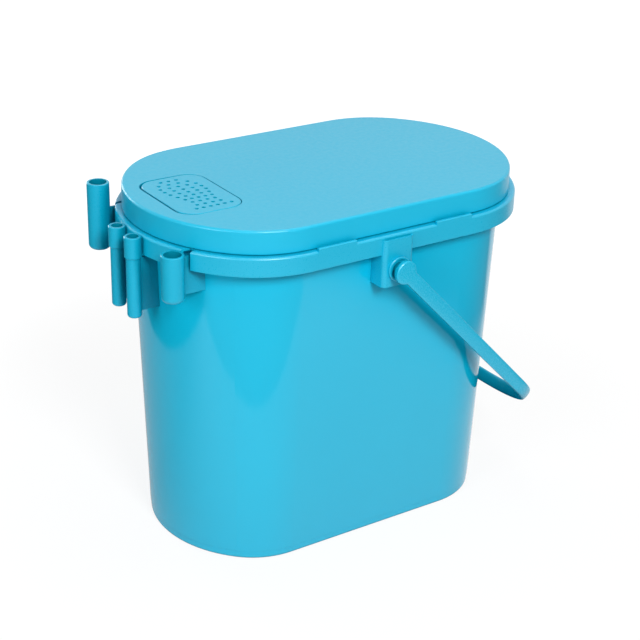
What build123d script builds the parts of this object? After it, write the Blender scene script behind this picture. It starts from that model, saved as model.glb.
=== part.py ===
from build123d import *
from math import asin, atan2, cos, degrees, radians, sin, sqrt
import os

os.makedirs("parts", exist_ok=True)

# All sizes are in millimetres. Z is up, X runs along the tub's long side, and the origin is
# the middle of the base. The rod tubes are on the -X end and the bail hangs over the +X end.

# Plan of the tub: two straight sides, four corner arcs and two flatter end arcs.
# Every level of the tub and lid is this plan grown or shrunk evenly from the lid's edge.
LID_HALF_WIDTH = 105.2
STRAIGHT_HALF_LENGTH = 78.2
CORNER_RADIUS = 80.1
END_RADIUS = 114.8

# Heights and offsets of the tub.
BASE_GROW = -17.4
WALL_DRAFT = 8.8 / 238.6
WALL = 2.4
FLOOR_UNDERSIDE = 2.5
FLOOR_TOP = 5.5
FOOT_HEIGHT = 7.0
FOOT_STEP = 0.3
FOOT_WIDTH = 6.0
FOOT_EDGE = 1.5
BASE_RIB_WIDTH = 3.0
BASE_RIB_PITCH = 70.0
RIM_BOTTOM = 264.8
RIM_TOP = 280.2
RIM_SHOULDER = 2.0
RIM_GROW = 5.6
RIM_WALL = 2.2
WALL_TOP = RIM_TOP - RIM_WALL
LIP_GROW = -3.0
LIP_WALL = 2.4

# Snap tabs standing on the rim's outer edge.
TAB_LENGTH = 35.0
TAB_TOP = 282.4
TAB_X = 56.0
TAB_WALL = 2.6

# Lid.
LID_TOP = 300.0
LID_UNDERSIDE = 296.8
SKIRT_BOTTOM = 281.0
SKIRT_WALL = 2.0
LOCATING_RIB_GROW = -7.0
LOCATING_RIB_WALL = 1.6
LOCATING_RIB_BOTTOM = 290.0

# Drop flap in the lid, and the pin it turns on.
FLAP_CENTRE_X = -121.75
FLAP_LENGTH = 55.5
FLAP_WIDTH = 83.0
FLAP_CORNER = 15.0
FLAP_UNDERSIDE = 297.6
FLAP_GAP = 1.2
FREE_EDGE_GAP = 2.0
HINGE_SIDE_GAP = 0.6
STOP_FLANGE_REACH = 3.2
STOP_FLANGE_BOTTOM = 295.2
HINGE_X = -92.0
HINGE_Z = 292.4
HINGE_PIN_RADIUS = 1.5
HINGE_CLEARANCE = 0.06
KNUCKLE_RADIUS = 3.2
KNUCKLE_WIDTH = 9.0
KNUCKLE_Y = 22.0
EAR_RADIUS = 4.2
EAR_WIDTH = 3.0
EAR_Y = 36.0
SPRING_WIRE_RADIUS = 0.4
SPRING_COIL_RADIUS = 2.5
SPRING_LENGTH = 5.0
SPRING_TURNS = 4.15
SPRING_Y = 30.7
FLAP_LEG_ANGLE = 246.0
FLAP_LEG_LENGTH = 11.4
LID_LEG_LENGTH = 12.0

# Fish figure pierced in the flap, head at +Y: (number of holes, width of the row) from
# head to tail.
HOLE_RADIUS = 1.65
FISH_ROWS = ((3, 14), (4, 26), (5, 32), (5, 33), (5, 32), (5, 28), (5, 24), (4, 20), (4, 21), (6, 31))
FISH_HEAD_Y = 33.6
FISH_ROW_PITCH = 7.2
FISH_HEAD_X = -123.6
FISH_LEAN = 0.08

# Rod tubes: big tubes carry rods, thin tubes carry rod tips.
WEB_THICKNESS = 2.0
GROOVE_DEPTH = 1.0
BIG_TUBE_RADIUS = 9.1
BIG_TUBE_BORE = 7.0
TUBE_LIP = 0.5
BIG_TUBE_Y = 58.3
NEAR_TUBE_X = -170.3
NEAR_TUBE_SPAN = (240.8, 279.0)
NEAR_WEB_SPAN = (244.7, 276.0)
FAR_TUBE_X = -173.9
FAR_TUBE_SPAN = (244.4, 300.9)
FAR_WEB_SPAN = (250.0, 278.0)
TIP_TUBE_X = -180.4
TIP_TUBE_Y = 13.2
TIP_TUBE_RADIUS = 5.8
TIP_TUBE_BORE = 4.6
TIP_TUBE_SPAN = (212.6, 280.4)
TIP_WEB_SPAN = (217.0, 262.0)
TIP_COLLAR_RADIUS = 6.9
TIP_COLLAR_BOTTOM = 263.0
TUBE_FLOOR = 3.0
NEAR_NOTCH_GAP = 2.7
FAR_NOTCH_GAP = 0.8

# Handle lugs, collars and studs. Y values are for the front (-Y) side.
PIVOT_Z = 252.0
LUG_FACE_Y = -114.0
LUG_WALL = 1.8
LUG_WIDTH = 29.0
LUG_CORNER = 4.0
LUG_BOTTOM = 237.6
LUG_TOP = 277.2
PIVOT_RADIUS = 5.0
PIVOT_CLEARANCE = 0.06
COLLAR_RADIUS = 10.2
COLLAR_HEIGHT = 2.2
COLLAR_DISH_RADIUS = 8.2
COLLAR_DISH_HEIGHT = 0.6
STUD_HEAD_RADIUS = 7.6
STUD_HEAD_THICKNESS = 2.6
STUD_NECK_RADIUS = 5.8
STUD_SPIGOT_RADIUS = 4.0
STUD_SPIGOT_LENGTH = 3.0
END_PLAY = 0.3

# Bail: a flat strap bent in one plane, with a round eye at each end.
STRAP_WIDTH = 11.6
STRAP_THICKNESS = 4.6
STRAP_EDGE = 1.8
EYE_RADIUS = 9.8
EYE_BLEND_RADIUS = 12.0
EYE_BLEND_LENGTH = 18.0
EYE_MID_Y = -123.0
ARM_CLOSING_ANGLE = 3.9
BAIL_REACH = 266.0
BAIL_CORNER_RADIUS = 45.3
BAIL_CROWN_RADIUS = 143.9
BAIL_REST_ANGLE = 45.3


def outline(grow, height):
    """The rounded plan as a level face at a height, grown outward from the lid's edge."""
    half_width = LID_HALF_WIDTH + grow
    corner_y = LID_HALF_WIDTH - CORNER_RADIUS
    end_back = sqrt((END_RADIUS - CORNER_RADIUS) ** 2 - corner_y**2)
    end_x = STRAIGHT_HALF_LENGTH - end_back
    turn = degrees(atan2(corner_y, end_back))
    edges = []
    for side in (1, -1):
        spin = 0 if side == 1 else 180
        first = (side * STRAIGHT_HALF_LENGTH, -side * corner_y)
        second = (side * STRAIGHT_HALF_LENGTH, side * corner_y)
        edges.append(CenterArc(first, CORNER_RADIUS + grow, spin - 90, 90 - turn))
        edges.append(CenterArc((side * end_x, 0), END_RADIUS + grow, spin - turn, 2 * turn))
        edges.append(CenterArc(second, CORNER_RADIUS + grow, spin + turn, 90 - turn))
        start = (side * STRAIGHT_HALF_LENGTH, side * half_width)
        edges.append(Line(start, (-side * STRAIGHT_HALF_LENGTH, side * half_width)))
    return Pos(0, 0, height) * Face(Wire(edges))


def prism(grow, bottom, top):
    """Straight-sided block on the tub's plan."""
    return extrude(outline(grow, bottom), amount=top - bottom, dir=(0, 0, 1))


def drafted(inset, bottom, top):
    """Block that follows the tub wall's draft, inset from the wall's outer face."""
    low = outline(BASE_GROW + WALL_DRAFT * bottom - inset, bottom)
    high = outline(BASE_GROW + WALL_DRAFT * top - inset, top)
    return loft([low, high], ruled=True)


def block(x_span, y_span, z_span):
    """Box given by its two ends on each axis."""
    size = [high - low for low, high in (x_span, y_span, z_span)]
    middle = [(high + low) / 2 for low, high in (x_span, y_span, z_span)]
    return Pos(*middle) * Box(*size)


def upright(x, y, radius, bottom, top):
    """Cylinder along Z."""
    return Pos(x, y, (bottom + top) / 2) * Cylinder(radius, top - bottom)


def crosswise(x, z, radius, y_start, y_end):
    """Cylinder along Y."""
    return Pos(x, (y_start + y_end) / 2, z) * Rot(90, 0, 0) * Cylinder(radius, abs(y_end - y_start))


def holder_tube(x, y, span, radius, bore, web_span, collar=None):
    """Rod tube closed at its rounded lower end, on a web that reaches the tub wall."""
    tube = upright(x, y, radius, *span)
    tube = fillet(tube.edges().group_by(Axis.Z)[0], 0.45 * radius)
    if collar:
        collar_radius, collar_bottom = collar
        step = upright(x, y, collar_radius, collar_bottom, span[1])
        tube += chamfer(step.edges().group_by(Axis.Z)[0], 0.7)
    web = block((x, -130), (y - WEB_THICKNESS / 2, y + WEB_THICKNESS / 2), web_span)
    tube += web - drafted(GROOVE_DEPTH, 200, 290)
    tube = chamfer(tube.edges().group_by(Axis.Z)[-1], TUBE_LIP)
    return tube - upright(x, y, bore, span[0] + TUBE_FLOOR, span[1] + 1)


def handle_lug():
    """Box-shaped front lug: a drilled plate with two side walls that run back to the tub."""
    back_y = LUG_FACE_Y + 30
    half = LUG_WIDTH / 2
    plan = Pos(0, (LUG_FACE_Y + back_y) / 2) * Rectangle(2 * half, back_y - LUG_FACE_Y)
    plan = fillet(plan.vertices().group_by(Axis.Y)[0], LUG_CORNER)
    hollow_y = LUG_FACE_Y + LUG_WALL
    hollow = Pos(0, (hollow_y + back_y) / 2) * Rectangle(2 * (half - LUG_WALL), back_y - hollow_y)
    hollow = fillet(hollow.vertices().group_by(Axis.Y)[0], LUG_CORNER - LUG_WALL)
    walls = extrude(Pos(0, 0, LUG_BOTTOM) * (plan - hollow), amount=LUG_TOP - LUG_BOTTOM)
    walls -= drafted(GROOVE_DEPTH, 230, 290) + prism(RIM_GROW, RIM_BOTTOM, LUG_TOP + 1)
    hole = crosswise(0, PIVOT_Z, PIVOT_RADIUS + PIVOT_CLEARANCE, LUG_FACE_Y - 1, hollow_y + 1)
    return walls - hole


def pivot_collar():
    """Dished ring round the pivot hole on the front lug's face."""
    dish_y = LUG_FACE_Y - COLLAR_DISH_HEIGHT
    rim_y = LUG_FACE_Y - COLLAR_HEIGHT
    ring = crosswise(0, PIVOT_Z, COLLAR_RADIUS, rim_y, LUG_FACE_Y)
    ring = chamfer(ring.edges().group_by(Axis.Y)[0], 0.5)
    ring -= crosswise(0, PIVOT_Z, COLLAR_DISH_RADIUS, rim_y - 1, dish_y)
    return ring - crosswise(0, PIVOT_Z, PIVOT_RADIUS + PIVOT_CLEARANCE, rim_y - 1, LUG_FACE_Y + 1)


def pivot_stud():
    """Stud of the front pivot, from the snap head behind the plate to the spigot in the eye."""
    head_start = LUG_FACE_Y + LUG_WALL + END_PLAY
    head = crosswise(0, PIVOT_Z, STUD_HEAD_RADIUS, head_start, head_start + STUD_HEAD_THICKNESS)
    head = chamfer(head.edges().group_by(Axis.Y)[-1], 1.2)
    neck_start = LUG_FACE_Y - COLLAR_DISH_HEIGHT - END_PLAY
    eye_face = EYE_MID_Y + STRAP_THICKNESS / 2
    shaft = crosswise(0, PIVOT_Z, PIVOT_RADIUS, head_start, neck_start)
    neck = crosswise(0, PIVOT_Z, STUD_NECK_RADIUS, neck_start, eye_face)
    spigot = crosswise(0, PIVOT_Z, STUD_SPIGOT_RADIUS, eye_face, eye_face - STUD_SPIGOT_LENGTH)
    return head + shaft + neck + spigot


def bail_path():
    """Middle line of the strap laid out level: arm, corner, crown, corner, arm."""
    along = Vector(cos(radians(ARM_CLOSING_ANGLE)), sin(radians(ARM_CLOSING_ANGLE)))
    inward = Vector(-along.Y, along.X)
    arm_start = Vector(0, EYE_MID_Y)
    # The corner arc touches the arm, and touches the crown arc from inside.
    crown_centre = Vector(BAIL_REACH - BAIL_CROWN_RADIUS, 0)
    shift = arm_start + inward * BAIL_CORNER_RADIUS - crown_centre
    reach = BAIL_CROWN_RADIUS - BAIL_CORNER_RADIUS
    back = shift.dot(along)
    arm_length = -back + sqrt(back**2 - shift.dot(shift) + reach**2)
    corner_centre = arm_start + inward * BAIL_CORNER_RADIUS + along * arm_length
    crown_half_angle = degrees(asin(-corner_centre.Y / reach))
    corner_angle = 90 - ARM_CLOSING_ANGLE - crown_half_angle
    arm = Line(arm_start, arm_start + along * arm_length)
    corner = JernArc(arm @ 1, arm % 1, BAIL_CORNER_RADIUS, corner_angle)
    crown = JernArc(corner @ 1, corner % 1, BAIL_CROWN_RADIUS, 2 * crown_half_angle)
    far_corner = JernArc(crown @ 1, crown % 1, BAIL_CORNER_RADIUS, corner_angle)
    far_arm = Line(far_corner @ 1, Vector(0, -EYE_MID_Y))
    return Pos(0, 0, PIVOT_Z) * Wire([arm, corner, crown, far_corner, far_arm])


def bail_eye():
    """Round end of the front arm, blended into the strap and laid out level."""
    strap = Pos(EYE_BLEND_LENGTH / 2, 0) * Rectangle(EYE_BLEND_LENGTH, STRAP_WIDTH)
    plan = Circle(EYE_RADIUS) + strap
    plan = fillet(plan.vertices().group_by(Axis.X)[0], EYE_BLEND_RADIUS)
    eye = extrude(plan, amount=STRAP_THICKNESS / 2, both=True)
    faces = eye.faces().filter_by(Axis.Z)
    eye = fillet(faces[0].edges() + faces[1].edges(), STRAP_EDGE)
    return Pos(0, EYE_MID_Y, PIVOT_Z) * Rot(0, 0, ARM_CLOSING_ANGLE) * Rot(90, 0, 0) * eye


def torsion_spring(y):
    """Coil round the hinge pin with one leg under the flap and the other under the lid."""
    coil = Helix(SPRING_LENGTH / SPRING_TURNS, SPRING_LENGTH, SPRING_COIL_RADIUS)
    flap_leg = Line(coil @ 0 - (coil % 0) * FLAP_LEG_LENGTH, coil @ 0)
    lid_leg = Line(coil @ 1, coil @ 1 + (coil % 1) * LID_LEG_LENGTH)
    wire_path = Wire([flap_leg, coil, lid_leg])
    start = Plane(wire_path @ 0, z_dir=wire_path % 0)
    spring = sweep(start * Circle(SPRING_WIRE_RADIUS), path=wire_path)
    place = Pos(HINGE_X, y + SPRING_LENGTH / 2, HINGE_Z) * Rot(90, 0, 0)
    return place * Rot(0, 0, FLAP_LEG_ANGLE) * spring


# Tub: foot, drafted wall and floor, with ribs under the floor.
foot = prism(BASE_GROW - FOOT_STEP, 0, FOOT_HEIGHT)
foot = fillet(foot.edges().group_by(Axis.Z)[0], FOOT_EDGE)
tub = foot + drafted(0, FOOT_HEIGHT, WALL_TOP) - drafted(WALL, FLOOR_TOP, WALL_TOP)
base_hollow = prism(BASE_GROW - FOOT_STEP - FOOT_WIDTH, 0, FLOOR_UNDERSIDE)
half_rib = BASE_RIB_WIDTH / 2
base_hollow -= block((-200, 200), (-half_rib, half_rib), (0, FLOOR_UNDERSIDE))
for x in (-BASE_RIB_PITCH, 0, BASE_RIB_PITCH):
    base_hollow -= block((x - half_rib, x + half_rib), (-120, 120), (0, FLOOR_UNDERSIDE))
tub -= base_hollow

# Rim: outer band, ledge over the wall's top edge, the lip that stands inside the lid, the snap
# tabs, and a notch in the band for the web of each big rod tube.
band = fillet(prism(RIM_GROW, RIM_BOTTOM, RIM_TOP).edges().group_by(Axis.Z)[-1], RIM_SHOULDER)
band -= prism(RIM_GROW - RIM_WALL, RIM_BOTTOM, WALL_TOP)
lip = fillet(prism(LIP_GROW, RIM_TOP, LID_UNDERSIDE).edges().group_by(Axis.Z)[-1], 0.8)
rim = band + lip - drafted(WALL, WALL_TOP, RIM_TOP) - prism(LIP_GROW - LIP_WALL, RIM_TOP, LID_TOP)
for x in (-TAB_X, TAB_X):
    for side in (-1, 1):
        outer = side * (LID_HALF_WIDTH + RIM_GROW)
        tab_y = sorted((outer, outer - side * TAB_WALL))
        x_span = (x - TAB_LENGTH / 2, x + TAB_LENGTH / 2)
        tab = block(x_span, tab_y, (RIM_TOP - RIM_SHOULDER - 1, TAB_TOP))
        top_edge = tab.edges().group_by(Axis.Z)[-1].filter_by(Axis.X).sort_by(Axis.Y)
        rim += chamfer(top_edge[0 if side == -1 else -1], 0.6)
for tube_y, gap in ((-BIG_TUBE_Y, NEAR_NOTCH_GAP), (BIG_TUBE_Y, FAR_NOTCH_GAP)):
    reach = WEB_THICKNESS / 2 + gap
    y_span = (tube_y - reach, tube_y + reach)
    rim -= block((-200, -152.5), y_span, (RIM_BOTTOM - 1, RIM_TOP + 0.1))

# Rod tubes. The collars of the thin tubes fit against the rim's band.
near_tube = holder_tube(
    NEAR_TUBE_X, -BIG_TUBE_Y, NEAR_TUBE_SPAN, BIG_TUBE_RADIUS, BIG_TUBE_BORE, NEAR_WEB_SPAN
)
far_tube = holder_tube(
    FAR_TUBE_X, BIG_TUBE_Y, FAR_TUBE_SPAN, BIG_TUBE_RADIUS, BIG_TUBE_BORE, FAR_WEB_SPAN
)
tip_tubes = {}
for name, y in (("tip_tube_near", -TIP_TUBE_Y), ("tip_tube_far", TIP_TUBE_Y)):
    tip_tubes[name] = holder_tube(
        TIP_TUBE_X, y, TIP_TUBE_SPAN, TIP_TUBE_RADIUS, TIP_TUBE_BORE, TIP_WEB_SPAN,
        (TIP_COLLAR_RADIUS, TIP_COLLAR_BOTTOM),
    )
    tip_tubes[name] -= rim

# Handle lugs, and the grooves in the tub wall that lugs and webs sit in.
lug_front = handle_lug()
lug_rear = mirror(lug_front, Plane.XZ)
for piece in (near_tube, far_tube, *tip_tubes.values(), lug_front, lug_rear):
    tub -= piece

# Bail, laid out level and then turned down to its hanging pose.
path = bail_path()
section = Plane(path @ 0, x_dir=(0, 0, 1), z_dir=path % 0) * RectangleRounded(
    STRAP_WIDTH, STRAP_THICKNESS, STRAP_EDGE
)
bail = sweep(section, path=path) + bail_eye() + mirror(bail_eye(), Plane.XZ)
for side in (-1, 1):
    seat = side * (abs(EYE_MID_Y) - STRAP_THICKNESS / 2)
    bail -= crosswise(0, PIVOT_Z, STUD_NECK_RADIUS + 0.5, seat - side * 4, seat)
    bail -= crosswise(0, PIVOT_Z, STUD_SPIGOT_RADIUS, seat, seat + side * STUD_SPIGOT_LENGTH)
bail = bail.rotate(Axis((0, 0, PIVOT_Z), (0, 1, 0)), BAIL_REST_ANGLE)

# Lid: plate, skirt, locating rib, flap opening and hinge ears.
lid = prism(0, SKIRT_BOTTOM, LID_TOP)
lid = fillet(lid.edges().group_by(Axis.Z)[-1], 2.2)
lid -= prism(-SKIRT_WALL, SKIRT_BOTTOM, LID_UNDERSIDE)
rib = prism(LOCATING_RIB_GROW, LOCATING_RIB_BOTTOM, LID_UNDERSIDE)
lid += rib - prism(LOCATING_RIB_GROW - LOCATING_RIB_WALL, LOCATING_RIB_BOTTOM, LID_UNDERSIDE)
opening_length = FLAP_LENGTH + FREE_EDGE_GAP + HINGE_SIDE_GAP
opening_x = FLAP_CENTRE_X + (HINGE_SIDE_GAP - FREE_EDGE_GAP) / 2
opening = RectangleRounded(opening_length, FLAP_WIDTH + 2 * FLAP_GAP, FLAP_CORNER + FLAP_GAP)
lid -= extrude(Pos(opening_x, 0, LID_UNDERSIDE - 1) * opening, amount=6)
for y in (-EAR_Y, EAR_Y):
    y_span = (y - EAR_WIDTH / 2, y + EAR_WIDTH / 2)
    ear = crosswise(HINGE_X, HINGE_Z, EAR_RADIUS, *y_span)
    ear += block((HINGE_X, HINGE_X + EAR_RADIUS + 2), y_span, (HINGE_Z - EAR_RADIUS, LID_UNDERSIDE))
    lid += ear - crosswise(HINGE_X, HINGE_Z, HINGE_PIN_RADIUS, y_span[0] - 1, y_span[1] + 1)

# Flap: pierced panel, stop flange under the lid's edge and two hinge knuckles.
panel = RectangleRounded(FLAP_LENGTH, FLAP_WIDTH, FLAP_CORNER)
flap = extrude(Pos(FLAP_CENTRE_X, 0, FLAP_UNDERSIDE) * panel, amount=LID_TOP - FLAP_UNDERSIDE)
flap = chamfer(flap.edges().group_by(Axis.Z)[-1], 0.4)
free_edge = FLAP_CENTRE_X - FLAP_LENGTH / 2
flange_x = (free_edge - STOP_FLANGE_REACH, HINGE_X - EAR_RADIUS - 3)
flange = RectangleRounded(
    flange_x[1] - flange_x[0], FLAP_WIDTH + 2 * STOP_FLANGE_REACH, FLAP_CORNER + STOP_FLANGE_REACH
)
flange_top = LID_UNDERSIDE - STOP_FLANGE_BOTTOM
flange = extrude(Pos(sum(flange_x) / 2, 0, STOP_FLANGE_BOTTOM) * flange, amount=flange_top)
spacer = RectangleRounded(flange_x[1] - free_edge - 4, FLAP_WIDTH - 4, FLAP_CORNER - 2)
spacer = extrude(
    Pos((flange_x[1] + free_edge) / 2, 0, STOP_FLANGE_BOTTOM) * spacer,
    amount=FLAP_UNDERSIDE - STOP_FLANGE_BOTTOM,
)
flap += flange + spacer
for y in (-KNUCKLE_Y, KNUCKLE_Y):
    y_span = (y - KNUCKLE_WIDTH / 2, y + KNUCKLE_WIDTH / 2)
    flap += crosswise(HINGE_X, HINGE_Z, KNUCKLE_RADIUS, *y_span)
    flap += block((flange_x[1] - 6, HINGE_X), y_span, (HINGE_Z - KNUCKLE_RADIUS, HINGE_Z + 2.4))
    flap += block((flange_x[1] - 6, flange_x[1] + 1), y_span, (HINGE_Z, FLAP_UNDERSIDE))
    bore = HINGE_PIN_RADIUS + HINGE_CLEARANCE
    flap -= crosswise(HINGE_X, HINGE_Z, bore, y_span[0] - 1, y_span[1] + 1)
for row, (count, width) in enumerate(FISH_ROWS):
    y = FISH_HEAD_Y - FISH_ROW_PITCH * row
    middle = FISH_HEAD_X + FISH_LEAN * FISH_ROW_PITCH * row
    for number in range(count):
        x = middle + width * (number / (count - 1) - 0.5)
        flap -= upright(x, y, HOLE_RADIUS, STOP_FLANGE_BOTTOM - 1, LID_TOP + 1)

hinge_pin = crosswise(
    HINGE_X, HINGE_Z, HINGE_PIN_RADIUS, -EAR_Y - EAR_WIDTH / 2, EAR_Y + EAR_WIDTH / 2
)

nodes = {
    "tub": tub,
    "rim": rim,
    "rod_tube_near": near_tube,
    "rod_tube_far": far_tube,
    "tip_tube_near": tip_tubes["tip_tube_near"],
    "tip_tube_far": tip_tubes["tip_tube_far"],
    "handle_lug_front": lug_front,
    "handle_lug_rear": lug_rear,
    "pivot_collar_front": pivot_collar(),
    "pivot_collar_rear": mirror(pivot_collar(), Plane.XZ),
    "bail": bail,
    "pivot_stud_front": pivot_stud(),
    "pivot_stud_rear": mirror(pivot_stud(), Plane.XZ),
    "lid": lid,
    "flap": flap,
    "flap_hinge_pin": hinge_pin,
    "flap_spring_near": torsion_spring(-SPRING_Y),
    "flap_spring_far": mirror(torsion_spring(-SPRING_Y), Plane.XZ),
}
for name, shape in nodes.items():
    export_step(shape, f"parts/{name}.step")
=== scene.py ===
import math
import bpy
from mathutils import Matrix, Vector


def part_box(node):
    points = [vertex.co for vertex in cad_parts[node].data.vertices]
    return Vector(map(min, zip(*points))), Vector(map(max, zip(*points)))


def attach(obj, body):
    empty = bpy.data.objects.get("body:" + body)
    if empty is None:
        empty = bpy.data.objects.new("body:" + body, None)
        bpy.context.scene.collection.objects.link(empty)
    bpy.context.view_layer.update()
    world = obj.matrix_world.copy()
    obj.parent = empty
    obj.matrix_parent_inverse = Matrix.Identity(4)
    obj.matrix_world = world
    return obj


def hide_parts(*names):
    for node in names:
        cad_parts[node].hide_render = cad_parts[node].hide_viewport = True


bl_info = {
    "name": "Live bait bucket",
    "version": (1, 0, 0),
    "blender": (4, 5, 0),
    "location": "3D View > Sidebar > Bait bucket",
    "description": "Builds the looks of a lidded bait bucket on its CAD frame",
    "category": "Add Mesh",
}

import bmesh
import bpy
from mathutils import Matrix, Vector

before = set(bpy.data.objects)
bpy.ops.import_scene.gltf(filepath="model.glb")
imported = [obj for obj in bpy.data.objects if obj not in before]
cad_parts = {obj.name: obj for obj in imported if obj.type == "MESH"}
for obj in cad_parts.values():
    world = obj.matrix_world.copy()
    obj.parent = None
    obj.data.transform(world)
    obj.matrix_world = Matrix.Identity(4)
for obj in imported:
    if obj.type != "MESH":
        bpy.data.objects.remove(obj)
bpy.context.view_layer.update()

MM = 0.001

# Points closer than this are one point in a mesh that a node tree grows.
MERGE_DISTANCE = 0.002 * MM

# Pigment of the plastic, as shares of its colour: the dark and the light ends of its clouds,
# and the tone of the painted shade, which has no red.
PIGMENT_DARK = (0.8, 0.96, 0.97)
PIGMENT_LIGHT = (1.2, 1.03, 1.02)
PAINTED_SHADE_TONE = (0.0, 0.35, 0.35)
PLASTIC_IOR = 1.52

# Painted shade in corners: how far a neighbour counts, how open a spot is where the painted
# shade is full and where it ends, and its share of the pigment.
CORNER_SHADE_REACH = 6 * MM
CORNER_SHADE_OPENNESS = (0.05, 0.75)
CORNER_SHADE_SHARE = 0.55

# Painted shade on the foot's edge by the floor: the heights between which it ends, and its share.
FOOT_SHADE_HEIGHTS = (0.6 * MM, 2.0 * MM)
FOOT_SHADE_SHARE = 0.75

# Shade of neighbours: how open a spot is where the shade is full and where it ends, and the
# height of the band in which a finish's fade starts.
SHADE_OPENNESS = (0.4, 0.88)
FADE_BAND = 60 * MM

# The rim with its lugs, and the tubes, are the tub's plastic painted a little darker: painted shade.
RIM_PAINTED_SHADE = 0.93
TUBE_PAINTED_SHADE = 0.86

# Strap's mesh: rows along it, points round it, and how far the rows crowd to its ends, where
# 1 is the most.
STRAP_ROWS = 321
STRAP_ROUND = 41
STRAP_CROWDING = 0.97

# Strap's section power: small is square, larger is round. It changes between two places on
# each half of the strap, where 0 is the tip and 1 the middle of the crown.
ARM_POWER = 0.34
CROWN_POWER = 0.88
CROWN_CHANGE = (0.42, 0.74)

# Width of the soft step from the strap to its eye, and the length of the closed tip.
EYE_BLEND = 3.0 * MM
TIP_LENGTH = 0.01 * MM

# Straight pieces between two points of the strap's route.
ROUTE_STEPS = 64

# Bead round a hole: points round the hole, points round the bead, and the share of the bead
# that is sunk in the flap.
BEAD_ROUND = 24
BEAD_SECTION = 8
BEAD_SUNK = 0.4

# Pierced fish in the flap: (number of holes, width of the row in millimetres), head to tail.
FISH_ROWS = ((3, 14), (4, 26), (5, 32), (5, 33), (5, 32), (5, 28), (5, 24), (4, 20), (4, 21), (6, 31))

# Floor: grey range of its mottle, the share of the lamps' light that it sends back up at the
# bucket, and its own glow, which grows between two distances from the bucket.
FLOOR_GREYS = (0.89, 0.92)
FLOOR_BOUNCE = 0.62
GLOW_SHARE = 0.82
GLOW_REACH = (0.25, 0.9)
GLOW_STRENGTH = (1.04, 1.22)

# Painted reflection: a lit sheet under the bucket that only the bucket's gloss sees. The
# corner is left of the tub, and the sheet is turned towards the lens. Each edge has the places
# between which the light ends and how bright the floor is past it. The right edge slants with
# the distance across, and its dim floor ends level with the tub's back. The dim floor past the
# back edge only lies at the rod tubes' end, and ends level with the tub's middle.
SHEET_CORNER = (-0.545, -0.08, 0)
SHEET_TURN = math.radians(-28.7)
SHEET_LEFT_EDGE, SHEET_LEFT_TONE = (-0.021, -0.009), 0.04
SHEET_FRONT_EDGE, SHEET_FRONT_TONE = (-0.031, -0.019), 0.52
SHEET_RIGHT_EDGE, SHEET_RIGHT_TONE = (0.38, 0.52), 0.25
SHEET_RIGHT_SLANT = 0.38
SHEET_RIGHT_END = (-0.03, 0.11)
SHEET_BACK_EDGE, SHEET_BACK_TONE = (-0.12, 0.08), 0.50
SHEET_BACK_END = (-0.1, 0.1)

# Camera: its turn round the bucket, its tilt and roll in degrees, its place in metres, and
# its sensor's width in millimetres.
CAMERA_TURN = -34.11
CAMERA_TILT = 24.923
CAMERA_ROLL = 1.501
CAMERA_PLACE = (-0.68096, -1.01136, 0.72823)
CAMERA_SENSOR = 36.0

# Soft boxes: name, the setting with its power, its sides, its place and where it points.
LAMPS = (
    ("key", "key_power", (0.6, 0.6), (-0.42, -1.76, 1.50), (0, 0, 0.15)),
    ("fill", "side_power", (0.8, 1.0), (-1.80, -0.62, 0.95), (0, 0, 0.15)),
    ("back", "back_power", (0.9, 0.9), (-0.35, 1.9, 0.55), (0, 0, 0.15)),
    ("overhead", "top_power", (1.6, 1.2), (0.45, 0.1, 2.1), (0, 0, 0.3)),
)


# ---------------------------------------------------------------- sizes and colours


class BucketColours(bpy.types.PropertyGroup):
    """Colours of the moulded plastic and the small steel parts."""

    tub: bpy.props.FloatVectorProperty(
        name="Tub", description="Plastic of the tub and its rod tubes",
        subtype="COLOR", size=3, min=0, max=1, default=(0.003, 0.500, 0.745),
    )
    lid: bpy.props.FloatVectorProperty(
        name="Lid", description="Plastic of the lid and its drop flap",
        subtype="COLOR", size=3, min=0, max=1, default=(0.003, 0.490, 0.730),
    )
    handle: bpy.props.FloatVectorProperty(
        name="Handle", description="Plastic of the bail and its studs",
        subtype="COLOR", size=3, min=0, max=1, default=(0.003, 0.485, 0.720),
    )
    steel: bpy.props.FloatVectorProperty(
        name="Steel", description="Hinge pin and springs",
        subtype="COLOR", size=3, min=0, max=1, default=(0.55, 0.56, 0.57),
    )


def length(name, description, millimetres):
    """Length property whose default is given in millimetres."""
    return bpy.props.FloatProperty(
        name=name, description=description, unit="LENGTH", subtype="DISTANCE",
        default=millimetres * MM, precision=4, min=0,
    )


def angle(name, description, degrees):
    """Angle property whose default is given in degrees."""
    return bpy.props.FloatProperty(
        name=name, description=description, unit="ROTATION", subtype="ANGLE",
        default=math.radians(degrees),
    )


class BailSizes(bpy.types.PropertyGroup):
    """Route and section of the swing handle."""

    pivot_height: length("Pivot height", "Height of the pivots above the floor", 252.0)
    eye_mid: length("Eye place", "Distance of each eye's middle from the tub's middle plane", 123.0)
    closing: angle("Closing angle", "How far each arm leans towards the other", 3.9)
    reach: length("Reach", "Distance from the pivots to the middle of the crown", 266.0)
    corner_radius: length("Corner radius", "Bend between an arm and the crown", 45.3)
    crown_radius: length("Crown radius", "Bend of the crown that the hand holds", 143.9)
    rest: angle("Rest angle", "How far the bail hangs below level", 45.3)
    width: length("Width", "Width of the strap", 11.6)
    thickness: length("Thickness", "Thickness of the strap", 4.6)
    edge: length("Edge", "Rounding of the strap's edges", 1.8)
    eye_radius: length("Eye radius", "Radius of the round ends", 9.8)


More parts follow.
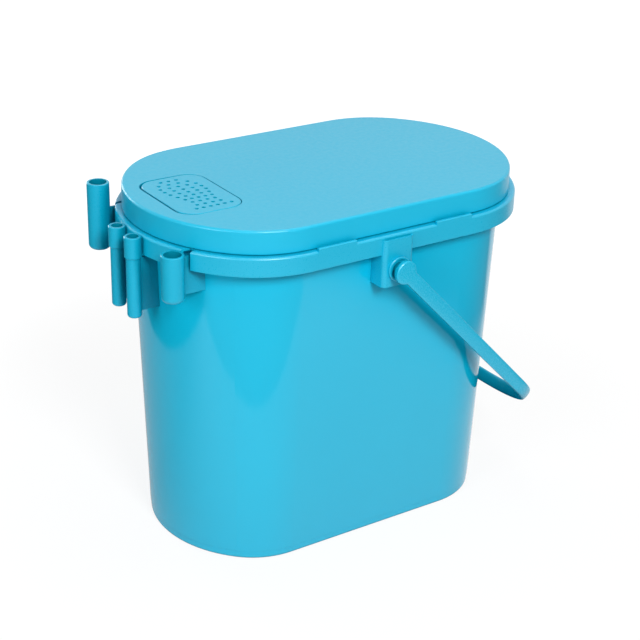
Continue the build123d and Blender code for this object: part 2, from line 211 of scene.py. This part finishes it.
class HoleSizes(bpy.types.PropertyGroup):
    """Beads round the holes of the drop flap."""

    hole_radius: length("Hole radius", "Radius of each hole", 1.65)
    bead: length("Bead", "Thickness of the rounded edge of a hole", 0.3)
    pitch: length("Row pitch", "Distance between rows of holes", 7.2)
    head_x: bpy.props.FloatProperty(
        name="Head X", description="Middle of the first row along the tub",
        unit="LENGTH", subtype="DISTANCE", default=-123.6 * MM, precision=4,
    )
    head_y: length("Head Y", "First row's place across the tub", 33.6)
    lean: bpy.props.FloatProperty(
        name="Lean", description="Sideways lean of the figure from row to row", default=0.08,
    )


class StageSettings(bpy.types.PropertyGroup):
    """Floor, lamps and camera."""

    floor_size: bpy.props.FloatProperty(
        name="Floor size", description="Side of the square floor",
        unit="LENGTH", subtype="DISTANCE", default=12.0,
    )
    key_power: bpy.props.FloatProperty(
        name="Key lamp", description="Power of the soft box in front of the bucket", default=33.4,
    )
    side_power: bpy.props.FloatProperty(
        name="Side lamp", description="Power of the soft box beside the rod tubes", default=11.2,
    )
    back_power: bpy.props.FloatProperty(
        name="Back lamp", description="Power of the soft box behind the bucket", default=13.0,
    )
    top_power: bpy.props.FloatProperty(
        name="Overhead lamp", description="Power of the soft box above the lid", default=10.8,
    )
    ambient: bpy.props.FloatProperty(
        name="Ambient", description="Strength of the white surroundings", default=0.16,
    )
    lens: bpy.props.FloatProperty(
        name="Lens", description="Focal length in millimetres on a 36 mm sensor", default=87.576,
    )


# ---------------------------------------------------------------- materials


def new_material(name):
    """Node material with an empty tree, and that tree."""
    material = bpy.data.materials.new(name)
    material.use_nodes = True
    tree = material.node_tree
    tree.nodes.clear()
    return material, tree


def grey(tone):
    """Opaque grey."""
    return (tone, tone, tone, 1)


def feed(tree, socket, value):
    """Links a socket to an input, or sets the input to a plain value."""
    if isinstance(value, bpy.types.NodeSocket):
        tree.links.new(value, socket)
    else:
        socket.default_value = value


def node(tree, kind, settings=None, **inputs):
    """Adds a node, sets its settings and feeds its inputs. Input i2 is the one with index 2."""
    made = tree.nodes.new(kind)
    for key, value in (settings or {}).items():
        setattr(made, key, value)
    for key, value in inputs.items():
        numbered = key[0] == "i" and key[1:].isdigit()
        feed(tree, made.inputs[int(key[1:]) if numbered else key], value)
    return made


def calc(tree, operation, *values):
    """Math node's result."""
    made = node(tree, "ShaderNodeMath", {"operation": operation})
    for socket, value in zip(made.inputs, values):
        feed(tree, socket, value)
    return made.outputs[0]


def toned(colour, shares):
    """Opaque colour with each channel at a share of the plain one, and none past full."""
    return (*(min(1, channel * share) for channel, share in zip(colour, shares)), 1)


def moulded_plastic(
    name, colour, roughness, ripple, grain=420.0,
    reach=0.045, fade=(0.4, 0.85), gloss=(0.02, 0.5), shade=0.0, fade_above=0.0,
):
    """Moulded plastic: cloudy pigment, faint flow ripple, fine skin, painted shade in recesses.

    Grain is how many grains of the skin lie on a metre. Within reach metres of a neighbour
    the gloss fades from its second value to its first, and painted shade darkens the colour by
    the share that shade gives. Fade is how open a spot is where the gloss starts and where it
    is full, and it only counts above the fade_above height.
    """
    material, tree = new_material(name)
    place = node(tree, "ShaderNodeTexCoord").outputs["Object"]
    cloud = node(tree, "ShaderNodeTexNoise", Vector=place, Scale=9.0, Detail=4.0, Roughness=0.55)
    fine = node(tree, "ShaderNodeTexNoise", Vector=place, Scale=grain, Detail=3.0, Roughness=0.6)
    pigment = node(
        tree, "ShaderNodeMix", {"data_type": "RGBA"},
        i0=cloud.outputs["Fac"], i6=toned(colour, PIGMENT_DARK), i7=toned(colour, PIGMENT_LIGHT),
    ).outputs[2]
    # Painted shade: tight corners and the foot's bottom edge are darker.
    tight = node(
        tree, "ShaderNodeAmbientOcclusion", {"samples": 6}, Distance=CORNER_SHADE_REACH,
    ).outputs["AO"]
    corner_shade = node(
        tree, "ShaderNodeMapRange", Value=tight,
        i1=CORNER_SHADE_OPENNESS[0], i2=CORNER_SHADE_OPENNESS[1], i3=CORNER_SHADE_SHARE, i4=0.0,
    )
    height = node(tree, "ShaderNodeSeparateXYZ", Vector=place).outputs["Z"]
    # Painted contact shade: the colour darkens within a few millimetres of the floor.
    foot_shade = node(
        tree, "ShaderNodeMapRange", Value=height,
        i1=FOOT_SHADE_HEIGHTS[0], i2=FOOT_SHADE_HEIGHTS[1], i3=FOOT_SHADE_SHARE, i4=0.0,
    )
    painted_shade = calc(tree, "MAXIMUM", corner_shade.outputs["Result"], foot_shade.outputs["Result"])
    shade_tone = toned(colour, PAINTED_SHADE_TONE)
    skin = node(
        tree, "ShaderNodeMix", {"data_type": "RGBA"},
        i0=painted_shade, i6=pigment, i7=shade_tone,
    ).outputs[2]
    # Painted shade near neighbours: the gloss fades and the colour darkens towards the shade tone.
    wide = node(
        tree, "ShaderNodeAmbientOcclusion", {"samples": 8}, Distance=reach,
    ).outputs["AO"]
    low = node(
        tree, "ShaderNodeMapRange", Value=height,
        i1=fade_above - FADE_BAND, i2=fade_above, i3=1.0, i4=0.0,
    ).outputs["Result"]
    openness = calc(tree, "MAXIMUM", wide, low)
    shine = node(
        tree, "ShaderNodeMapRange", Value=openness,
        i1=fade[0], i2=fade[1], i3=gloss[0], i4=gloss[1],
    )
    dim = node(
        tree, "ShaderNodeMapRange", Value=openness,
        i1=SHADE_OPENNESS[0], i2=SHADE_OPENNESS[1], i3=shade, i4=0.0,
    )
    skin = node(
        tree, "ShaderNodeMix", {"data_type": "RGBA"},
        i0=dim.outputs["Result"], i6=skin, i7=shade_tone,
    ).outputs[2]
    rough = node(
        tree, "ShaderNodeMapRange", Value=fine.outputs["Fac"],
        i1=0.3, i2=0.7, i3=roughness * 0.85, i4=roughness * 1.2,
    ).outputs["Result"]
    wave = node(tree, "ShaderNodeTexNoise", Vector=place, Scale=14.0, Detail=1.5)
    slow = node(
        tree, "ShaderNodeBump", Strength=ripple, Distance=0.002, Height=wave.outputs["Fac"],
    )
    bumps = node(
        tree, "ShaderNodeBump", Strength=0.03, Distance=0.0002,
        Height=fine.outputs["Fac"], Normal=slow.outputs["Normal"],
    )
    shader = node(
        tree, "ShaderNodeBsdfPrincipled", **{
            "Base Color": skin, "Roughness": rough, "Normal": bumps.outputs["Normal"],
            "Specular IOR Level": shine.outputs["Result"],
        },
    )
    shader.inputs["IOR"].default_value = PLASTIC_IOR
    node(tree, "ShaderNodeOutputMaterial", Surface=shader.outputs["BSDF"])
    return material


def drawn_steel(name, colour):
    """Drawn wire: fine streaks in roughness and tone."""
    material, tree = new_material(name)
    place = node(tree, "ShaderNodeTexCoord").outputs["Object"]
    stretch = node(tree, "ShaderNodeMapping", Vector=place, Scale=(1.0, 0.05, 1.0)).outputs["Vector"]
    streak = node(tree, "ShaderNodeTexNoise", Vector=stretch, Scale=1800.0, Detail=2.0)
    dark = (colour[0] * 0.7, colour[1] * 0.7, colour[2] * 0.7, 1)
    tone = node(
        tree, "ShaderNodeMix", {"data_type": "RGBA"},
        i0=streak.outputs["Fac"], i6=dark, i7=(*colour, 1),
    ).outputs[2]
    rough = node(
        tree, "ShaderNodeMapRange", Value=streak.outputs["Fac"], i1=0.2, i2=0.8, i3=0.22, i4=0.42,
    ).outputs["Result"]
    shader = node(
        tree, "ShaderNodeBsdfPrincipled", **{"Base Color": tone, "Roughness": rough},
    )
    shader.inputs["Metallic"].default_value = 1.0
    node(tree, "ShaderNodeOutputMaterial", Surface=shader.outputs["BSDF"])
    return material


def white_floor(name):
    """White floor with a soft shadow. Gloss sees a painted reflection: a lit sheet, dimmer past it."""
    material, tree = new_material(name)
    path = node(tree, "ShaderNodeLightPath").outputs
    place = node(tree, "ShaderNodeTexCoord").outputs["Object"]

    def ramp(value, start, end, low=0.0, high=1.0):
        return node(
            tree, "ShaderNodeMapRange", {"interpolation_type": "SMOOTHSTEP"},
            Value=value, i1=start, i2=end, i3=low, i4=high,
        ).outputs["Result"]

    mottle = node(tree, "ShaderNodeTexNoise", Vector=place, Scale=3.0, Detail=2.0)
    tone = node(
        tree, "ShaderNodeMix", {"data_type": "RGBA"},
        i0=mottle.outputs["Fac"], i6=grey(FLOOR_GREYS[0]), i7=grey(FLOOR_GREYS[1]),
    ).outputs[2]
    bounce = node(
        tree, "ShaderNodeMix", {"data_type": "RGBA"},
        i0=path["Is Diffuse Ray"], i6=tone, i7=grey(FLOOR_BOUNCE),
    ).outputs[2]
    matte = node(tree, "ShaderNodeBsdfDiffuse", Color=bounce)
    away = node(tree, "ShaderNodeVectorMath", {"operation": "LENGTH"}, i0=place).outputs["Value"]
    strength = ramp(away, *GLOW_REACH, *GLOW_STRENGTH)
    glow = node(tree, "ShaderNodeEmission", Color=grey(1), Strength=strength)
    share = calc(tree, "MULTIPLY", path["Is Camera Ray"], GLOW_SHARE)
    plain = node(
        tree, "ShaderNodeMixShader", i0=share, i1=matte.outputs["BSDF"], i2=glow.outputs["Emission"],
    )

    # Left and front are measured along the sheet's own axes, right and back along the floor's.
    to_sheet = node(
        tree, "ShaderNodeMapping", {"vector_type": "TEXTURE"},
        Vector=place, Location=SHEET_CORNER, Rotation=(0, 0, SHEET_TURN),
    ).outputs["Vector"]
    sheet = node(tree, "ShaderNodeSeparateXYZ", Vector=to_sheet).outputs
    floor = node(tree, "ShaderNodeSeparateXYZ", Vector=place).outputs
    left = ramp(sheet["X"], *SHEET_LEFT_EDGE, SHEET_LEFT_TONE, 1.0)
    front = ramp(sheet["Y"], *SHEET_FRONT_EDGE, SHEET_FRONT_TONE, 1.0)
    slant = calc(tree, "MULTIPLY", floor["Y"], SHEET_RIGHT_SLANT)
    slanted = calc(tree, "SUBTRACT", floor["X"], slant)
    past_right = ramp(slanted, *SHEET_RIGHT_EDGE, 1.0, SHEET_RIGHT_TONE)
    right = calc(tree, "MAXIMUM", past_right, ramp(floor["Y"], *SHEET_RIGHT_END))
    past_back = ramp(floor["Y"], *SHEET_BACK_EDGE, 1.0, SHEET_BACK_TONE)
    back = calc(tree, "MAXIMUM", past_back, ramp(floor["X"], *SHEET_BACK_END))
    near_sides = calc(tree, "MULTIPLY", left, front)
    far_sides = calc(tree, "MULTIPLY", right, back)
    tone_in_gloss = calc(tree, "MULTIPLY", near_sides, far_sides)
    # Painted reflection: glossy rays see this card in place of the plain floor.
    card = node(tree, "ShaderNodeEmission", Color=grey(1), Strength=tone_in_gloss)
    seen = node(
        tree, "ShaderNodeMixShader",
        i0=path["Is Glossy Ray"], i1=plain.outputs["Shader"], i2=card.outputs["Emission"],
    )
    node(tree, "ShaderNodeOutputMaterial", Surface=seen.outputs["Shader"])
    return material


# ---------------------------------------------------------------- geometry nodes


def new_group(name, *sizes):
    """Geometry node tree with a geometry input, an input for each named size, and a finish."""
    tree = bpy.data.node_groups.new(name, "GeometryNodeTree")
    sockets = tree.interface
    sockets.new_socket("Geometry", in_out="OUTPUT", socket_type="NodeSocketGeometry")
    sockets.new_socket("Geometry", in_out="INPUT", socket_type="NodeSocketGeometry")
    for size in sizes:
        sockets.new_socket(size, in_out="INPUT", socket_type="NodeSocketFloat")
    sockets.new_socket("Finish", in_out="INPUT", socket_type="NodeSocketMaterial")
    given = tree.nodes.new("NodeGroupInput").outputs
    return tree, given


def close_group(tree, geometry, finish):
    """Ends the tree: real geometry, its material and the output."""
    real = node(tree, "GeometryNodeRealizeInstances", Geometry=geometry)
    dressed = node(tree, "GeometryNodeSetMaterial", Geometry=real.outputs[0], Material=finish)
    node(tree, "NodeGroupOutput", Geometry=dressed.outputs[0])


def grown(name, base, tree, finish, **sizes):
    """Plain mesh object that a tree makes from a base curve or mesh; the base is removed."""
    source = bpy.data.objects.new(name + "_base", base)
    bpy.context.scene.collection.objects.link(source)
    modifier = source.modifiers.new("grow", "NODES")
    modifier.node_group = tree
    values = dict(sizes, Finish=finish)
    for item in tree.interface.items_tree:
        if item.in_out == "INPUT" and item.name in values:
            modifier[item.identifier] = values[item.name]
    graph = bpy.context.evaluated_depsgraph_get()
    mesh = bpy.data.meshes.new_from_object(source.evaluated_get(graph), depsgraph=graph)
    bpy.data.objects.remove(source)
    if not mesh.polygons:
        raise RuntimeError(name + " came out empty")
    mesh.name = name
    solid = bmesh.new()
    solid.from_mesh(mesh)
    bmesh.ops.remove_doubles(solid, verts=solid.verts, dist=MERGE_DISTANCE)
    bmesh.ops.recalc_face_normals(solid, faces=solid.faces)
    for face in solid.faces:
        face.material_index = 0
    solid.to_mesh(mesh)
    solid.free()
    mesh.materials.clear()
    mesh.materials.append(finish)
    piece = bpy.data.objects.new(name, mesh)
    bpy.context.scene.collection.objects.link(piece)
    return piece


def squared_off(tree, wave, power, half):
    """One axis of a superellipse: a wave's sign times its size to a power, times a half width."""
    # Rounded, so that both edges of the grid meet exactly at the seam.
    wave = calc(tree, "DIVIDE", calc(tree, "ROUND", calc(tree, "MULTIPLY", wave, 1e4)), 1e4)
    size = calc(tree, "POWER", calc(tree, "ABSOLUTE", wave), power)
    return calc(tree, "MULTIPLY", calc(tree, "MULTIPLY", calc(tree, "SIGN", wave), size), half)


def bail_tree():
    """Strap along a route: flat arms, a rounder crown, and a round eye at each end."""
    tree, given = new_group(
        "bail_strap", "Width", "Thickness", "Edge", "EyeRadius", "Rest", "PivotHeight",
    )
    route = given["Geometry"]
    total = node(tree, "GeometryNodeCurveLength", Curve=route).outputs["Length"]
    grid = node(
        tree, "GeometryNodeMeshGrid", i0=1.0, i1=1.0, i2=STRAP_ROWS, i3=STRAP_ROUND,
    ).outputs["Mesh"]
    at = node(tree, "ShaderNodeSeparateXYZ", i0=node(tree, "GeometryNodeInputPosition").outputs[0]).outputs
    # Rows crowd together at both ends, where the eyes are round.
    share = calc(tree, "ADD", at["X"], 0.5)
    swing = calc(tree, "SINE", calc(tree, "MULTIPLY", share, 2 * math.pi))
    pull = calc(tree, "MULTIPLY", swing, STRAP_CROWDING / (2 * math.pi))
    eased = calc(tree, "SUBTRACT", share, pull)
    along = calc(tree, "MULTIPLY", eased, total)
    from_tip = calc(tree, "MINIMUM", along, calc(tree, "SUBTRACT", total, along))
    from_eye = calc(tree, "SUBTRACT", from_tip, given["EyeRadius"])

    radius_squared = calc(tree, "MULTIPLY", given["EyeRadius"], given["EyeRadius"])
    left_over = calc(tree, "SUBTRACT", radius_squared, calc(tree, "MULTIPLY", from_eye, from_eye))
    eye_half = calc(tree, "SQRT", calc(tree, "MAXIMUM", left_over, 0.0))
    strap_half = calc(tree, "MULTIPLY", given["Width"], 0.5)
    strap_half_here = calc(tree, "MULTIPLY", strap_half, calc(tree, "GREATER_THAN", from_eye, 0.0))
    half_width = calc(tree, "SMOOTH_MAX", eye_half, strap_half_here, EYE_BLEND)
    at_tip = calc(tree, "LESS_THAN", from_tip, TIP_LENGTH)
    half_width = calc(tree, "MULTIPLY", half_width, calc(tree, "SUBTRACT", 1.0, at_tip))
    # The strap thins to a rounded edge at each tip.
    inset = calc(tree, "DIVIDE", from_tip, given["Edge"])
    short = calc(tree, "MAXIMUM", calc(tree, "SUBTRACT", 1.0, inset), 0.0)
    curve = calc(tree, "SQRT", calc(tree, "SUBTRACT", 1.0, calc(tree, "MULTIPLY", short, short)))
    loss = calc(tree, "MULTIPLY", given["Edge"], calc(tree, "SUBTRACT", 1.0, curve))
    half_thickness = calc(tree, "SUBTRACT", calc(tree, "MULTIPLY", given["Thickness"], 0.5), loss)

    # The section is square on the arms and rounder on the crown.
    from_middle = calc(tree, "SUBTRACT", calc(tree, "DIVIDE", along, total), 0.5)
    from_middle = calc(tree, "ABSOLUTE", calc(tree, "MULTIPLY", from_middle, 2.0))
    middle = calc(tree, "SUBTRACT", 1.0, from_middle)
    power = node(
        tree, "ShaderNodeMapRange", {"interpolation_type": "SMOOTHSTEP"},
        Value=middle, i1=CROWN_CHANGE[0], i2=CROWN_CHANGE[1], i3=ARM_POWER, i4=CROWN_POWER,
    ).outputs["Result"]
    turn = calc(tree, "MULTIPLY", calc(tree, "ADD", at["Y"], 0.5), 2 * math.pi)
    inward = squared_off(tree, calc(tree, "COSINE", turn), power, half_thickness)
    upward = squared_off(tree, calc(tree, "SINE", turn), power, half_width)

    spot = node(tree, "GeometryNodeSampleCurve", {"mode": "LENGTH"}, Curves=route, Length=along).outputs
    side = node(
        tree, "ShaderNodeVectorMath", {"operation": "CROSS_PRODUCT"}, i0=spot["Tangent"], i1=(0, 0, 1),
    ).outputs["Vector"]
    shift = node(
        tree, "ShaderNodeVectorMath", {"operation": "SCALE"}, Vector=side, Scale=inward,
    ).outputs["Vector"]
    rise = node(tree, "ShaderNodeCombineXYZ", Z=upward).outputs["Vector"]
    offset = node(tree, "ShaderNodeVectorMath", {"operation": "ADD"}, i0=shift, i1=rise).outputs["Vector"]
    moved = node(
        tree, "ShaderNodeVectorMath", {"operation": "ADD"}, i0=spot["Position"], i1=offset,
    ).outputs["Vector"]
    strap = node(tree, "GeometryNodeSetPosition", Geometry=grid, Position=moved).outputs[0]
    hung = node(
        tree, "GeometryNodeTransform", Geometry=strap,
        Rotation=node(tree, "ShaderNodeCombineXYZ", Y=given["Rest"]).outputs["Vector"],
        Translation=node(tree, "ShaderNodeCombineXYZ", Z=given["PivotHeight"]).outputs["Vector"],
    ).outputs[0]
    smooth = node(tree, "GeometryNodeSetShadeSmooth", Geometry=hung).outputs[0]
    close_group(tree, smooth, given["Finish"])
    return tree


def hole_bead_tree():
    """Round bead on every point, at the top edge of its hole."""
    tree, given = new_group("hole_beads", "HoleRadius", "Bead")
    half_bead = calc(tree, "MULTIPLY", given["Bead"], 0.5)
    ring = node(
        tree, "GeometryNodeCurvePrimitiveCircle",
        Resolution=BEAD_ROUND, Radius=calc(tree, "ADD", given["HoleRadius"], half_bead),
    ).outputs["Curve"]
    section = node(
        tree, "GeometryNodeCurvePrimitiveCircle", Resolution=BEAD_SECTION, Radius=half_bead,
    ).outputs["Curve"]
    bead = node(tree, "GeometryNodeCurveToMesh", i0=ring, i1=section).outputs["Mesh"]
    bead = node(tree, "GeometryNodeSetShadeSmooth", Geometry=bead).outputs[0]
    beads = node(tree, "GeometryNodeInstanceOnPoints", Points=given["Geometry"], Instance=bead)
    close_group(tree, beads.outputs[0], given["Finish"])
    return tree


def bail_route(sizes):
    """Middle line of the strap laid out level, as Bezier points with arc handles."""
    lean = sizes.closing
    heading = Vector((math.cos(lean), math.sin(lean), 0))
    inward = Vector((-heading.y, heading.x, 0))
    eye = Vector((0, -sizes.eye_mid, 0))
    crown_centre = Vector((sizes.reach - sizes.crown_radius, 0, 0))
    between = sizes.crown_radius - sizes.corner_radius
    # The corner arc touches the arm, and touches the crown arc from inside.
    shift = eye + inward * sizes.corner_radius - crown_centre
    back = shift.dot(heading)
    arm = -back + math.sqrt(back**2 - shift.length_squared + between**2)
    corner_centre = eye + inward * sizes.corner_radius + heading * arm
    crown_half = math.asin(-corner_centre.y / between)
    corner_turn = math.pi / 2 - lean - crown_half

    def bow(radius, turn):
        """Length of the Bezier handles that make an arc."""
        return 4 / 3 * math.tan(turn / 4) * radius

    tip = eye - heading * sizes.eye_radius
    arm_end = eye + heading * arm
    crown_spoke = Vector((math.cos(crown_half), -math.sin(crown_half), 0))
    crown_start = crown_centre + crown_spoke * sizes.crown_radius
    crown_heading = Vector((math.sin(crown_half), math.cos(crown_half), 0))
    near = [
        (tip, heading, arm / 3, arm / 3),
        (arm_end, heading, arm / 3, bow(sizes.corner_radius, corner_turn)),
        (crown_start, crown_heading, bow(sizes.corner_radius, corner_turn),
         bow(sizes.crown_radius, 2 * crown_half)),
    ]
    flip = Vector((1, -1, 1))
    far = [(place * flip, -way * flip, after, before) for place, way, before, after in reversed(near)]
    route = bpy.data.curves.new("bail_route", "CURVE")
    route.dimensions = "3D"
    spline = route.splines.new("BEZIER")
    spline.resolution_u = ROUTE_STEPS
    spline.bezier_points.add(len(near + far) - 1)
    for point, (place, way, before, after) in zip(spline.bezier_points, near + far):
        point.co = place
        point.handle_left = place - way * before
        point.handle_right = place + way * after
    return route


# ---------------------------------------------------------------- operators


def finish_nodes(material, *names):
    """Gives the carried-over CAD nodes one material."""
    for name in names:
        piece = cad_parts[name]
        piece.data.materials.clear()
        piece.data.materials.append(material)


def add_camera(scene, lens):
    """Camera at its place, turned round the bucket, tilted down and rolled."""
    data = bpy.data.cameras.new("camera")
    data.sensor_width = CAMERA_SENSOR
    data.lens = lens
    camera = bpy.data.objects.new("camera", data)
    turn, tilt, roll = (math.radians(value) for value in (CAMERA_TURN, CAMERA_TILT, CAMERA_ROLL))
    back = Vector((math.sin(turn) * math.cos(tilt), -math.cos(turn) * math.cos(tilt), math.sin(tilt)))
    right = Vector((math.cos(turn), math.sin(turn), 0))
    up = back.cross(right)
    right_rolled = right * math.cos(roll) + up * math.sin(roll)
    up_rolled = up * math.cos(roll) - right * math.sin(roll)
    axes = Matrix((right_rolled, up_rolled, back)).transposed().to_4x4()
    camera.matrix_world = Matrix.Translation(CAMERA_PLACE) @ axes
    scene.collection.objects.link(camera)
    scene.camera = camera


def add_floor(scene, side):
    """Square floor with the white studio material."""
    half = side / 2
    corners = [(-half, -half, 0), (half, -half, 0), (half, half, 0), (-half, half, 0)]
    mesh = bpy.data.meshes.new("floor")
    mesh.from_pydata(corners, [], [(0, 1, 2, 3)])
    mesh.materials.append(white_floor("studio_floor"))
    floor = bpy.data.objects.new("floor", mesh)
    scene.collection.objects.link(floor)


def add_lamp(scene, name, power, sides, place, target):
    """Rectangular soft box that points at a target."""
    data = bpy.data.lights.new(name, "AREA")
    data.shape = "RECTANGLE"
    data.size, data.size_y = sides
    data.energy = power
    lamp = bpy.data.objects.new(name, data)
    aim = (Vector(target) - Vector(place)).to_track_quat("-Z", "Y")
    lamp.matrix_world = Matrix.Translation(place) @ aim.to_matrix().to_4x4()
    scene.collection.objects.link(lamp)


def add_surroundings(scene, ambient):
    """White surroundings that light matt surfaces only faintly."""
    world = bpy.data.worlds.new("studio")
    scene.world = world
    world.use_nodes = True
    tree = world.node_tree
    tree.nodes.clear()
    path = node(tree, "ShaderNodeLightPath")
    strength = node(
        tree, "ShaderNodeMapRange", Value=path.outputs["Is Diffuse Ray"],
        i1=0.0, i2=1.0, i3=1.0, i4=ambient,
    ).outputs["Result"]
    glow = node(tree, "ShaderNodeBackground", Color=grey(1), Strength=strength)
    node(tree, "ShaderNodeOutputWorld", Surface=glow.outputs["Background"])


class BUCKET_OT_stage(bpy.types.Operator):
    """Make the camera, floor, lamps and white surroundings"""

    bl_idname = "bucket.stage"
    bl_label = "Stage"

    def execute(self, context):
        scene = context.scene
        settings = scene.bucket_stage
        add_camera(scene, settings.lens)
        add_floor(scene, settings.floor_size)
        for name, power_key, sides, place, target in LAMPS:
            add_lamp(scene, name, getattr(settings, power_key), sides, place, target)
        add_surroundings(scene, settings.ambient)
        scene.view_settings.view_transform = "Standard"
        return {"FINISHED"}


class BUCKET_OT_bail(bpy.types.Operator):
    """Make the swing handle, a strap with a round eye at each end"""

    bl_idname = "bucket.bail"
    bl_label = "Bail"

    def execute(self, context):
        sizes = context.scene.bucket_bail
        piece = grown(
            "bail_strap", bail_route(sizes), bail_tree(), bpy.data.materials["handle_finish"],
            Width=sizes.width, Thickness=sizes.thickness, Edge=sizes.edge,
            EyeRadius=sizes.eye_radius, Rest=sizes.rest, PivotHeight=sizes.pivot_height,
        )
        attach(piece, "handle")
        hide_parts("bail")
        return {"FINISHED"}


class BUCKET_OT_hole_beads(bpy.types.Operator):
    """Make the rounded edges of the flap's holes"""

    bl_idname = "bucket.hole_beads"
    bl_label = "Hole edges"

    def execute(self, context):
        sizes = context.scene.bucket_holes
        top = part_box("flap")[1][2] - sizes.bead * BEAD_SUNK
        places = []
        for row, (count, width) in enumerate(FISH_ROWS):
            y = sizes.head_y - sizes.pitch * row
            middle = sizes.head_x + sizes.lean * sizes.pitch * row
            for number in range(count):
                places.append((middle + width * MM * (number / (count - 1) - 0.5), y, top))
        points = bpy.data.meshes.new("hole_places")
        points.from_pydata(places, [], [])
        piece = grown(
            "flap_hole_edges", points, hole_bead_tree(), bpy.data.materials["lid_finish"],
            HoleRadius=sizes.hole_radius, Bead=sizes.bead,
        )
        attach(piece, "flap")
        return {"FINISHED"}


class BUCKET_OT_finishes(bpy.types.Operator):
    """Give every carried-over CAD node its plastic or steel"""

    bl_idname = "bucket.finishes"
    bl_label = "Finishes"

    def execute(self, context):
        colours = context.scene.bucket_colours
        # Reach, fade, gloss and shade set each finish's painted shade near neighbours.
        tub = moulded_plastic(
            "tub_finish", colours.tub, roughness=0.08, ripple=0.06,
            reach=0.06, fade=(0.62, 0.97), fade_above=0.14,
        )
        lid = moulded_plastic(
            "lid_finish", colours.lid, roughness=0.34, ripple=0.04, grain=260.0, reach=0.015,
        )
        # Painted shade: the rim and tube finishes take the tub's colour, darkened.
        rim = moulded_plastic(
            "rim_finish", [channel * RIM_PAINTED_SHADE for channel in colours.tub],
            roughness=0.30, ripple=0.03, grain=1100.0, reach=0.012, gloss=(0.02, 0.72),
        )
        tube = moulded_plastic(
            "tube_finish", [channel * TUBE_PAINTED_SHADE for channel in colours.tub],
            roughness=0.30, ripple=0.03, grain=1100.0, reach=0.06, fade=(0.5, 0.95), shade=0.7,
        )
        handle = moulded_plastic(
            "handle_finish", colours.handle, roughness=0.26, ripple=0.03, grain=1100.0,
            reach=0.13, fade=(0.55, 0.9), gloss=(0.0, 0.55), shade=0.85,
        )
        steel = drawn_steel("steel_finish", colours.steel)
        finish_nodes(tub, "tub")
        finish_nodes(
            rim, "rim", "handle_lug_front", "handle_lug_rear", "pivot_collar_front", "pivot_collar_rear",
        )
        finish_nodes(tube, "rod_tube_near", "rod_tube_far", "tip_tube_near", "tip_tube_far")
        finish_nodes(lid, "lid", "flap")
        finish_nodes(handle, "bail", "pivot_stud_front", "pivot_stud_rear")
        finish_nodes(steel, "flap_hinge_pin", "flap_spring_near", "flap_spring_far")
        return {"FINISHED"}


class BUCKET_PT_panel(bpy.types.Panel):
    """Sidebar panel with the bucket's sizes, colours and build steps"""

    bl_idname = "BUCKET_PT_panel"
    bl_label = "Bait bucket"
    bl_space_type = "VIEW_3D"
    bl_region_type = "UI"
    bl_category = "Bait bucket"

    def draw(self, context):
        column = self.layout.column()
        for kind, group in GROUPS:
            for key in kind.__annotations__:
                column.prop(getattr(context.scene, group), key)
        for step in STEPS:
            column.operator(step.bl_idname)


GROUPS = (
    (BucketColours, "bucket_colours"),
    (BailSizes, "bucket_bail"),
    (HoleSizes, "bucket_holes"),
    (StageSettings, "bucket_stage"),
)
STEPS = (BUCKET_OT_stage, BUCKET_OT_finishes, BUCKET_OT_bail, BUCKET_OT_hole_beads)
CLASSES = tuple(kind for kind, _ in GROUPS) + STEPS + (BUCKET_PT_panel,)


def register():
    for kind in CLASSES:
        bpy.utils.register_class(kind)
    for kind, key in GROUPS:
        setattr(bpy.types.Scene, key, bpy.props.PointerProperty(type=kind))


def unregister():
    for _, key in GROUPS:
        delattr(bpy.types.Scene, key)
    for kind in reversed(CLASSES):
        bpy.utils.unregister_class(kind)


def main():
    register()
    for step in STEPS:
        group, name = step.bl_idname.split(".")
        getattr(getattr(bpy.ops, group), name)()


if __name__ == "__main__":
    main()
